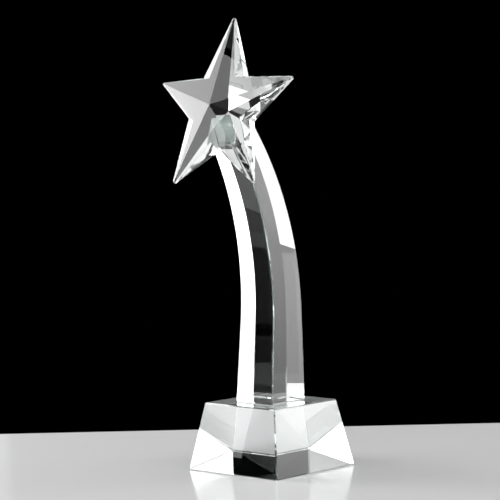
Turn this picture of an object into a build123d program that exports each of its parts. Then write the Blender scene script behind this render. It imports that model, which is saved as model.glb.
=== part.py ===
"""Star trophy in clear crystal: tapered base block, bowed pillar, double-faced five-pointed star.

Millimetres, +Z up. The origin is the centre of the base's underside. The star faces -Y and the
trophy is symmetric about the plane X = 0. Every block is solid crystal, ground flat and polished,
and the blocks are held together by two thin films of clear adhesive.
"""
import os
from math import atan, cos, degrees, radians, sin, tan

from build123d import *

os.makedirs("parts", exist_ok=True)

# Base block: a square frustum standing on its wide face
base_side = 80.0
base_top_side = 63.3
base_height = 45.0
base_bevel = 0.7

# Adhesive films: thickness, the gap from a film's edge to the edge of the pillar, and how far down
# the star's lower back facet the upper film starts and ends, from the back's apex
film = 0.2
film_inset = 0.8
film_top = 4.0
film_bottom = 23.0
ridge_inset = 0.5

# Pillar: square section that narrows upwards and bows forwards over the front of the base
pillar_side = 33.2
pillar_top_side = 23.6
pillar_top_height = 235.0
front_lean = 4.8
front_straight = 52.0
front_radius = 210.0
back_lean = 0.5
back_straight = 61.0
back_radius = 209.0
bow_angle = 50.0
pillar_bevel = 0.6

# Star: regular five-pointed outline with square-cut walls, ground to a shallow five-sided
# pyramid on the front and on the back; the facets meet along the five lines to the points
star_centre_y = -40.6
star_centre_z = 242.9
star_tilt = 12.6
star_point_radius = 63.5
star_blunt_radius = 61.0
notch_ratio = 0.382
star_notch_radius = notch_ratio * star_point_radius
star_points = 5
star_centre_thickness = 26.5
star_tip_thickness = 2.2
star_bevel = 0.35

# Slope of a facet, measured along the line to the notch in the middle of that facet
half_thick = star_centre_thickness / 2
ridge_drop = (star_centre_thickness - star_tip_thickness) / 2 / star_blunt_radius
arm_angle = 360 / star_points
half_arm = arm_angle / 2
facet_angle = degrees(atan(ridge_drop / cos(radians(half_arm))))

# Star frame: X to the right, Y towards the top point, Z out of the front face
tilt = radians(star_tilt)
star_centre = Vector(0, star_centre_y, star_centre_z)
star_plane = Plane(origin=star_centre, x_dir=(1, 0, 0), z_dir=(0, -cos(tilt), sin(tilt)))

# Frame of the lower facet of the back: origin at the back apex, Y down the facet, Z towards the pillar
seat_lean = radians(star_tilt + facet_angle)
back_apex = star_plane.from_local_coords(Vector(0, 0, -half_thick))
seat_plane = Plane(origin=back_apex, x_dir=(1, 0, 0), z_dir=(0, cos(seat_lean), -sin(seat_lean)))
pillar_end_plane = seat_plane.offset(film)

# Base block
with BuildPart() as base_block:
    with BuildSketch(Plane.XY):
        Rectangle(base_side, base_side)
    with BuildSketch(Plane.XY.offset(base_height)):
        Rectangle(base_top_side, base_top_side)
    loft()
    chamfer(base_block.edges(), base_bevel)

# Film between the base and the pillar
foot_half = pillar_side / 2 - film_inset
with BuildPart() as base_film:
    with BuildSketch(Plane.XY.offset(base_height)):
        Rectangle(2 * foot_half, 2 * foot_half)
    extrude(amount=film)

# Pillar: side profile drawn on the plane of symmetry, then narrowed by two leaning side planes
# and cut off square to the star's lower back facet
foot_z = base_height + film
side_lean = atan((pillar_side - pillar_top_side) / 2 / (pillar_top_height - foot_z))


def lean(angle):
    return Vector(sin(radians(angle)), cos(radians(angle)))


with BuildPart() as pillar:
    with BuildSketch(Plane.YZ):
        with BuildLine():
            foot_front = Vector(-pillar_side / 2, foot_z)
            foot_back = Vector(pillar_side / 2, foot_z)
            front_line = Line(foot_front, foot_front + lean(front_lean) * front_straight)
            front_arc = JernArc(front_line @ 1, front_line % 1, front_radius, bow_angle)
            back_line = Line(foot_back, foot_back + lean(back_lean) * back_straight)
            back_arc = JernArc(back_line @ 1, back_line % 1, back_radius, bow_angle)
            Line(front_arc @ 1, back_arc @ 1)
            Line(foot_front, foot_back)
        make_face()
    extrude(amount=pillar_side / 2, both=True)
    for side in (-1, 1):
        side_plane = Plane(
            origin=(side * pillar_side / 2, 0, foot_z),
            x_dir=(0, 1, 0),
            z_dir=(side * cos(side_lean), 0, sin(side_lean)),
        )
        split(bisect_by=side_plane, keep=Keep.BOTTOM)
    split(bisect_by=pillar_end_plane, keep=Keep.TOP)
    chamfer(pillar.edges(), pillar_bevel)

# Star: each point ends in a small flat, square across the arm
point_half_angle = half_arm / 2
half_point = tan(radians(point_half_angle)) * (star_point_radius - star_blunt_radius)
outline = []
for arm in range(star_points):
    turn = -arm_angle * arm
    point = Vector(0, star_blunt_radius).rotate(Axis.Z, turn)
    across = Vector(half_point, 0).rotate(Axis.Z, turn)
    notch = Vector(0, star_notch_radius).rotate(Axis.Z, turn - half_arm)
    outline += [point - across, point + across, notch]


def is_rim(edge):
    """True for the edges round the outline, not for the ridges or the upright edges in the notches."""
    ends = [star_plane.to_local_coords(edge @ end) for end in (0, 1)]
    radii = [Vector(end.X, end.Y).length for end in ends]
    is_ridge = min(radii) < star_notch_radius / 2
    is_notch_upright = max(radii) < star_notch_radius * 1.01
    return not is_ridge and not is_notch_upright


with BuildPart() as star:
    with BuildSketch(star_plane):
        with BuildLine():
            Polyline(*outline, close=True)
        make_face()
    extrude(amount=half_thick, both=True)
    for face in (1, -1):
        for arm in range(star_points):
            slope = Vector(0, sin(radians(facet_angle)), face * cos(radians(facet_angle)))
            normal = slope.rotate(Axis.Z, -arm_angle * arm - half_arm)
            facet = Plane(origin=(0, 0, face * half_thick), z_dir=normal)
            facet_in_place = Plane(star_plane.location * facet.location)
            split(bisect_by=facet_in_place, keep=Keep.BOTTOM)
    chamfer(star.edges().filter_by(is_rim), star_bevel)

# Film between the pillar's end and the star's lower back facet: as wide as the pillar, and cut to a
# point along the facet's two ridges
ridge_slope = tan(radians(half_arm)) * cos(radians(facet_angle))
end_half = pillar_top_side / 2 - film_inset
top_half = film_top * ridge_slope - ridge_inset
shoulder = (end_half + ridge_inset) / ridge_slope
with BuildPart() as star_film:
    with BuildSketch(seat_plane):
        with BuildLine():
            Polyline(
                (-top_half, film_top),
                (top_half, film_top),
                (end_half, shoulder),
                (end_half, film_bottom),
                (-end_half, film_bottom),
                (-end_half, shoulder),
                close=True,
            )
        make_face()
    extrude(amount=film)

base_block.part.label = "base_block"
base_film.part.label = "base_film"
pillar.part.label = "pillar"
star.part.label = "star"
star_film.part.label = "star_film"

export_step(base_block.part, "parts/base_block.step")
export_step(base_film.part, "parts/base_film.step")
export_step(pillar.part, "parts/pillar.step")
export_step(star.part, "parts/star.step")
export_step(star_film.part, "parts/star_film.step")
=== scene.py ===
"""Looks of the crystal star trophy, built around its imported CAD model.

Metres, in the CAD's frame: +Z up, the star faces -Y, and X = 0 is the plane of symmetry. The flat-faced
base and star keep their CAD shapes. The bowed pillar and the two films of adhesive are made here.
"""
import math

import bmesh
import bpy
from mathutils import Matrix, Vector


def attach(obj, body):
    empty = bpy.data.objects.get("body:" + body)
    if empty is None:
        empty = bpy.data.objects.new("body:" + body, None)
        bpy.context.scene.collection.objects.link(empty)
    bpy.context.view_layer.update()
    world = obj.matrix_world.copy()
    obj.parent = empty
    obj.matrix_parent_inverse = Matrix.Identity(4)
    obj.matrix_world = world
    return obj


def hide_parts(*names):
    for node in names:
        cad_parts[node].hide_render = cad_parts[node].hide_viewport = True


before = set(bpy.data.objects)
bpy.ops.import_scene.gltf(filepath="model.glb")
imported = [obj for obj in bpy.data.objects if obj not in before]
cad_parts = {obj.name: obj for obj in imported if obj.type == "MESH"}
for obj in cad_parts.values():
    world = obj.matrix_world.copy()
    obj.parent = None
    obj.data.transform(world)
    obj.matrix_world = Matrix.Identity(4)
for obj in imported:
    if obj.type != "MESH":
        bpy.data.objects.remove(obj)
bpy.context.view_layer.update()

BASE_HEIGHT = 0.045

# Films of adhesive: each reaches a little way into the glass on both of its sides, so that light
# passes from block to block as it does through a real bond
FILM = 0.0002
FILM_OVERLAP = 0.00003
FILM_INSET = 0.0008

# Pillar: each bowed face is straight from the foot and then an arc; leans are from the vertical
PILLAR_SIDE = 0.0332
PILLAR_TOP_SIDE = 0.0236
PILLAR_TOP_HEIGHT = 0.235
FRONT_BOW = {"lean": math.radians(4.8), "straight": 0.052, "radius": 0.210}
BACK_BOW = {"lean": math.radians(0.5), "straight": 0.061, "radius": 0.209}
BOW_STEPS = 110
PILLAR_BEVEL = 0.0006

# Faces that meet at less than this angle are shaded as one smooth surface
SMOOTH_BELOW = math.radians(5)

# Star: its centre, tilt, half thickness at the centre, and the fall of its ridges to the points; its
# film starts and ends at these distances from the back's apex, and stays inset from the ridges
STAR_CENTRE = Vector((0, -0.0406, 0.2429))
STAR_TILT = math.radians(12.6)
STAR_HALF_THICK = 0.01325
STAR_RIDGE_FALL = 0.01215
STAR_BLUNT_RADIUS = 0.0610
HALF_ARM = math.radians(36)
STAR_FILM_TOP = 0.004
STAR_FILM_BOTTOM = 0.023
RIDGE_INSET = 0.0005

# Floor: how far its edges are from the base's centre to the camera's left and right, towards the
# camera and away from it, and the small gap under the base
FLOOR_LEFT = 0.37
FLOOR_RIGHT = 0.45
FLOOR_FRONT = 0.28
FLOOR_BACK = 0.177
FLOOR_GAP = 0.0003
FLOOR_THICK = 0.02

# Light panels are placed by direction and distance from a point about half way up the trophy, and a
# panel's own coordinates run from 0 to 1 along each of its sides
LIGHT_CENTRE = Vector((0, 0, 0.15))
PANEL_MIDDLE = (0.5, 0.5, 0)
MIDDLE_TO_SIDE = 0.5

# Camera: where it looks from, and its place across and above the line through the base's centre
CAMERA_AZIMUTH = math.radians(42.57)
CAMERA_PITCH = math.radians(3.21)
CAMERA_ROLL = math.radians(1.28)
CAMERA_DISTANCE = 1.3019
CAMERA_ACROSS = -0.0117
CAMERA_RISE = 0.1476
CAMERA_LENS = 137.7
CAMERA_RIGHT = Vector((math.cos(CAMERA_AZIMUTH), math.sin(CAMERA_AZIMUTH), 0))
CAMERA_AHEAD = Vector((-math.sin(CAMERA_AZIMUTH), math.cos(CAMERA_AZIMUTH), 0))

# Most of a noise texture's values lie between these two
NOISE_LOW = 0.35
NOISE_HIGH = 0.65

# Clear glass, and the adhesive that matches it
CLEAR = {"Base Color": (1, 1, 1, 1), "Transmission Weight": 1.0, "IOR": 1.52}

scene = bpy.context.scene


# ---------------------------------------------------------------- materials
def new_material(name, settings):
    """A material with its Principled shader set; returns it, its node tree and the shader."""
    material = bpy.data.materials.new(name)
    material.use_nodes = True
    shader = material.node_tree.nodes["Principled BSDF"]
    set_inputs(shader, settings)
    return material, material.node_tree, shader


def set_inputs(node, settings):
    for socket, value in settings.items():
        node.inputs[socket].default_value = value


def noise(tree, scale, detail):
    """Noise from 0 to 1, with about this many swells in a metre."""
    place = tree.nodes.new("ShaderNodeTexCoord")
    swell = tree.nodes.new("ShaderNodeTexNoise")
    set_inputs(swell, {"Scale": scale, "Detail": detail})
    tree.links.new(place.outputs["Object"], swell.inputs["Vector"])
    return swell.outputs["Fac"]


def waviness(tree, shader, scale, height):
    """Slow swells that polishing leaves, which bend reflections a little."""
    bump = tree.nodes.new("ShaderNodeBump")
    set_inputs(bump, {"Strength": 1.0, "Distance": height})
    tree.links.new(noise(tree, scale, detail=1.0), bump.inputs["Height"])
    tree.links.new(bump.outputs["Normal"], shader.inputs["Normal"])


def varied(tree, socket, scale, low, high):
    """Makes a socket drift between two values over the surface."""
    spread = tree.nodes.new("ShaderNodeMapRange")
    set_inputs(spread, {"From Min": NOISE_LOW, "From Max": NOISE_HIGH, "To Min": low, "To Max": high})
    tree.links.new(noise(tree, scale, detail=3.0), spread.inputs["Value"])
    tree.links.new(spread.outputs["Result"], socket)


def crystal_glass():
    """Polished optical crystal: clear, and faintly green where light goes a long way through it."""
    material, tree, shader = new_material("crystal", CLEAR)
    waviness(tree, shader, scale=28.0, height=0.00002)
    varied(tree, shader.inputs["Roughness"], scale=60.0, low=0.0, high=0.008)
    depth = tree.nodes.new("ShaderNodeVolumeAbsorption")
    set_inputs(depth, {"Color": (0.40, 0.84, 0.70, 1), "Density": 0.8})
    tree.links.new(depth.outputs["Volume"], tree.nodes["Material Output"].inputs["Volume"])
    return material


def clear_adhesive():
    """Cured adhesive, as clear as the glass, with the unevenness of a pressed film."""
    material, tree, shader = new_material("adhesive", CLEAR)
    waviness(tree, shader, scale=120.0, height=0.00002)
    varied(tree, shader.inputs["Roughness"], scale=150.0, low=0.03, high=0.10)
    return material


def pale_floor():
    """The floor's off-white surface, with a soft gloss that drifts a little."""
    settings = {"Base Color": (0.90, 0.90, 0.905, 1), "IOR": 1.15}
    material, tree, shader = new_material("floor_pale", settings)
    varied(tree, shader.inputs["Roughness"], scale=9.0, low=0.09, high=0.13)
    return material


# ---------------------------------------------------------------- pieces
# The seat's frame is on the lower facet of the star's back: origin at the back apex, X to the right,
# Y down the facet and Z out towards the pillar.
FACET_ANGLE = math.atan(STAR_RIDGE_FALL / STAR_BLUNT_RADIUS / math.cos(HALF_ARM))
SEAT_LEAN = STAR_TILT + FACET_ANGLE
STAR_FRAME = Matrix.Translation(STAR_CENTRE) @ Matrix.Rotation(math.radians(90) - STAR_TILT, 4, "X")
BACK_APEX = STAR_FRAME @ Vector((0, 0, -STAR_HALF_THICK))
SEAT_FRAME = Matrix.Translation(BACK_APEX) @ Matrix.Rotation(-math.radians(90) - SEAT_LEAN, 4, "X")


def slab(outline, bottom, top):
    """A flat slab with an outline in X and Y, between two heights."""
    mesh = bmesh.new()
    low = [mesh.verts.new((x, y, bottom)) for x, y in outline]
    high = [mesh.verts.new((x, y, top)) for x, y in outline]
    mesh.faces.new(low)
    mesh.faces.new(high)
    for here in range(len(outline)):
        after = (here + 1) % len(outline)
        mesh.faces.new((low[here], low[after], high[after], high[here]))
    return mesh


def add_object(name, mesh, material):
    """Makes an object of the mesh, with its bows shaded smooth and its flats flat."""
    bmesh.ops.recalc_face_normals(mesh, faces=mesh.faces)
    data = bpy.data.meshes.new(name)
    mesh.to_mesh(data)
    mesh.free()
    data.shade_smooth()
    data.set_sharp_from_angle(angle=SMOOTH_BELOW)
    data.materials.append(material)
    piece = bpy.data.objects.new(name, data)
    scene.collection.objects.link(piece)
    return piece


def in_place_of(node, piece):
    """Puts the piece in the place of a CAD node: hangs it from the root body and hides the node."""
    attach(piece, "root")
    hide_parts(node)


def film(name, outline, frame_of_film, material):
    """A flat film of adhesive with an outline drawn in its own frame, where Z = 0 is one glass face."""
    mesh = slab(outline, -FILM_OVERLAP, FILM + FILM_OVERLAP)
    mesh.transform(frame_of_film)
    return add_object(name, mesh, material)


def foot_film(material):
    """A square, inset from the edges of the pillar's foot."""
    half = PILLAR_SIDE / 2 - FILM_INSET
    outline = [(-half, -half), (half, -half), (half, half), (-half, half)]
    return film("foot_bond", outline, Matrix.Translation((0, 0, BASE_HEIGHT)), material)


def seat_film(material):
    """As wide as the pillar's end, and cut to a point along the facet's two ridges."""
    ridge_run = math.tan(HALF_ARM) * math.cos(FACET_ANGLE)
    top_half = STAR_FILM_TOP * ridge_run - RIDGE_INSET
    end_half = PILLAR_TOP_SIDE / 2 - FILM_INSET
    shoulder = (end_half + RIDGE_INSET) / ridge_run
    right = [(top_half, STAR_FILM_TOP), (end_half, shoulder), (end_half, STAR_FILM_BOTTOM)]
    outline = right + [(-across, down) for across, down in reversed(right)]
    return film("star_bond", outline, SEAT_FRAME, material)


def bow_points(foot_y, foot_z, bow):
    """One bowed face's side profile, from the foot to the plane of the pillar's end."""
    lean = bow["lean"]
    foot = Vector((0, foot_y, foot_z))
    tangent = foot + bow["straight"] * Vector((0, math.sin(lean), math.cos(lean)))
    centre = tangent + bow["radius"] * Vector((0, -math.cos(lean), math.sin(lean)))
    centre_height = (SEAT_FRAME.inverted() @ centre).z
    end_lean = SEAT_LEAN - math.acos((FILM - centre_height) / bow["radius"])
    points = [foot]
    for step in range(BOW_STEPS + 1):
        here = lean + (end_lean - lean) * step / BOW_STEPS
        points.append(centre + bow["radius"] * Vector((0, math.cos(here), -math.sin(here))))
    return points


def pillar(material):
    """Square at the foot, narrowing between two leaning side planes, bowed forwards, bevelled all round."""
    foot_z = BASE_HEIGHT + FILM
    narrowing = (PILLAR_SIDE - PILLAR_TOP_SIDE) / 2 / (PILLAR_TOP_HEIGHT - foot_z)
    fronts = bow_points(-PILLAR_SIDE / 2, foot_z, FRONT_BOW)
    backs = bow_points(PILLAR_SIDE / 2, foot_z, BACK_BOW)
    mesh = bmesh.new()
    sections = []  # rings of four corners, from the foot up
    for front, back in zip(fronts, backs):
        section = []
        for side, point in ((-1, front), (1, front), (1, back), (-1, back)):
            half = PILLAR_SIDE / 2 - (point.z - foot_z) * narrowing
            section.append(mesh.verts.new((side * half, point.y, point.z)))
        sections.append(section)
    mesh.faces.new(sections[0])
    mesh.faces.new(sections[-1])
    sharp = []
    for below, above in zip(sections, sections[1:]):
        for here in range(4):
            after = (here + 1) % 4
            mesh.faces.new((below[here], below[after], above[after], above[here]))
            sharp.append(mesh.edges.get((below[here], above[here])))
    for section in (sections[0], sections[-1]):
        sharp += [mesh.edges.get((section[here], section[(here + 1) % 4])) for here in range(4)]
    bmesh.ops.recalc_face_normals(mesh, faces=mesh.faces)
    bmesh.ops.bevel(mesh, geom=sharp, offset=PILLAR_BEVEL, offset_type="OFFSET", segments=1, affect="EDGES")
    return add_object("bowed_pillar", mesh, material)


def refinish(node, material):
    """Gives a CAD node, which keeps its shape, a new material."""
    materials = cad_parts[node].data.materials
    materials.clear()
    materials.append(material)


crystal = crystal_glass()
adhesive = clear_adhesive()
refinish("base_block", crystal)
refinish("star", crystal)
in_place_of("pillar", pillar(crystal))
in_place_of("base_film", foot_film(adhesive))
in_place_of("star_film", seat_film(adhesive))


# ---------------------------------------------------------------- stage
def floor_slab():
    """A pale glossy table top, square to the camera, that ends a little way behind the trophy."""
    near = [(-FLOOR_LEFT, -FLOOR_FRONT), (FLOOR_RIGHT, -FLOOR_FRONT)]
    far = [(FLOOR_RIGHT, FLOOR_BACK), (-FLOOR_LEFT, FLOOR_BACK)]
    mesh = slab(near + far, -FLOOR_GAP - FLOOR_THICK, -FLOOR_GAP)
    mesh.transform(Matrix.Rotation(CAMERA_AZIMUTH, 4, "Z"))
    floor = add_object("floor", mesh, pale_floor())


def softbox(name, azimuth, elevation, distance, width, height, radiance, edge=1.0):
    """A soft light panel that faces the trophy.

    It is seen from the trophy at an azimuth, measured from the camera to its right, and an elevation,
    both in degrees. Its radiance is full in the middle, and edge is the share left at its sides.
    """
    turn = CAMERA_AZIMUTH + math.radians(azimuth)
    rise = math.radians(elevation)
    away = Vector((math.sin(turn) * math.cos(rise), -math.cos(turn) * math.cos(rise), math.sin(rise)))
    light = bpy.data.lights.new(name, "AREA")
    light.shape = "RECTANGLE"
    light.size, light.size_y = width, height
    light.energy = radiance * math.pi * width * height
    light.use_nodes = True
    tree = light.node_tree
    spot = tree.nodes.new("ShaderNodeNewGeometry")
    centred = tree.nodes.new("ShaderNodeVectorMath")
    centred.operation = "SUBTRACT"
    centred.inputs[1].default_value = PANEL_MIDDLE
    reach = tree.nodes.new("ShaderNodeVectorMath")
    reach.operation = "LENGTH"
    fade = tree.nodes.new("ShaderNodeMapRange")
    fade.interpolation_type = "SMOOTHSTEP"
    set_inputs(fade, {"From Max": MIDDLE_TO_SIDE, "To Min": 1.0, "To Max": edge})
    tree.links.new(spot.outputs["Parametric"], centred.inputs[0])
    tree.links.new(centred.outputs["Vector"], reach.inputs[0])
    tree.links.new(reach.outputs["Value"], fade.inputs["Value"])
    tree.links.new(fade.outputs["Result"], tree.nodes["Emission"].inputs["Strength"])
    lamp = bpy.data.objects.new(name, light)
    scene.collection.objects.link(lamp)
    lamp.location = LIGHT_CENTRE + away * distance
    lamp.rotation_euler = away.to_track_quat("Z", "Y").to_euler()
    lamp.visible_camera = False


floor_slab()

# Azimuth and elevation, distance, width and height, and radiance in watts per square metre and steradian
softbox("key_left", -115, 11, 1.1, 0.59, 1.05, 8.6, edge=0.5)
softbox("key_right", 95, 6, 0.95, 0.44, 0.86, 5.1, edge=0.3)
softbox("bounce_left", -90, 12, 1.2, 0.27, 0.53, 3.0)
softbox("bounce_left_top", -90, 34, 1.2, 0.27, 0.38, 0.9)
softbox("top_left", -78, 35.5, 1.2, 0.5, 0.33, 3.0)
softbox("upper_left", -79, 49, 1.2, 0.5, 0.22, 0.25)
softbox("fill_left", -55, 12, 1.3, 0.6, 0.7, 0.3)
softbox("low_left", -84, -11, 1.2, 0.5, 0.4, 0.12)
softbox("overhead", 0, 62, 1.2, 1.8, 1.4, 1.02)
softbox("top_right", 58, 38, 1.2, 0.9, 0.5, 1.0)
softbox("upper_right", 108, 48, 1.2, 0.5, 0.4, 1.2)
softbox("fill_right", 68, 12, 1.2, 0.25, 0.3, 1.0)
softbox("front_low", 8, -4, 1.6, 1.2, 0.35, 0.15)
softbox("back_right", 126, 34, 1.2, 0.6, 0.6, 0.9)
softbox("back_top", 180, 32.5, 1.3, 2.0, 0.54, 0.8)
softbox("back_left", -143, 5, 1.3, 0.50, 0.9, 0.8)
softbox("back_glow", -160, 3, 1.3, 0.22, 0.5, 0.3)

world = bpy.data.worlds.new("studio")
world.use_nodes = True
scene.world = world
world.node_tree.nodes["Background"].inputs["Color"].default_value = (0, 0, 0, 1)

# ---------------------------------------------------------------- camera
sight = CAMERA_AHEAD * math.cos(CAMERA_PITCH) - Vector((0, 0, math.sin(CAMERA_PITCH)))
upright = CAMERA_AHEAD * math.sin(CAMERA_PITCH) + Vector((0, 0, math.cos(CAMERA_PITCH)))
right = CAMERA_RIGHT * math.cos(CAMERA_ROLL) - upright * math.sin(CAMERA_ROLL)
up = CAMERA_RIGHT * math.sin(CAMERA_ROLL) + upright * math.cos(CAMERA_ROLL)
camera = bpy.data.objects.new("camera", bpy.data.cameras.new("camera"))
scene.collection.objects.link(camera)
camera.data.lens = CAMERA_LENS
place = CAMERA_RIGHT * CAMERA_ACROSS + upright * CAMERA_RISE - sight * CAMERA_DISTANCE
camera.matrix_world = Matrix.Translation(place) @ Matrix((right, up, -sight)).transposed().to_4x4()
scene.camera = camera

scene.view_settings.view_transform = "Standard"

# Light crosses and bounces inside the three blocks many times before it leaves them
scene.cycles.max_bounces = 32
scene.cycles.transmission_bounces = 32
scene.cycles.glossy_bounces = 24
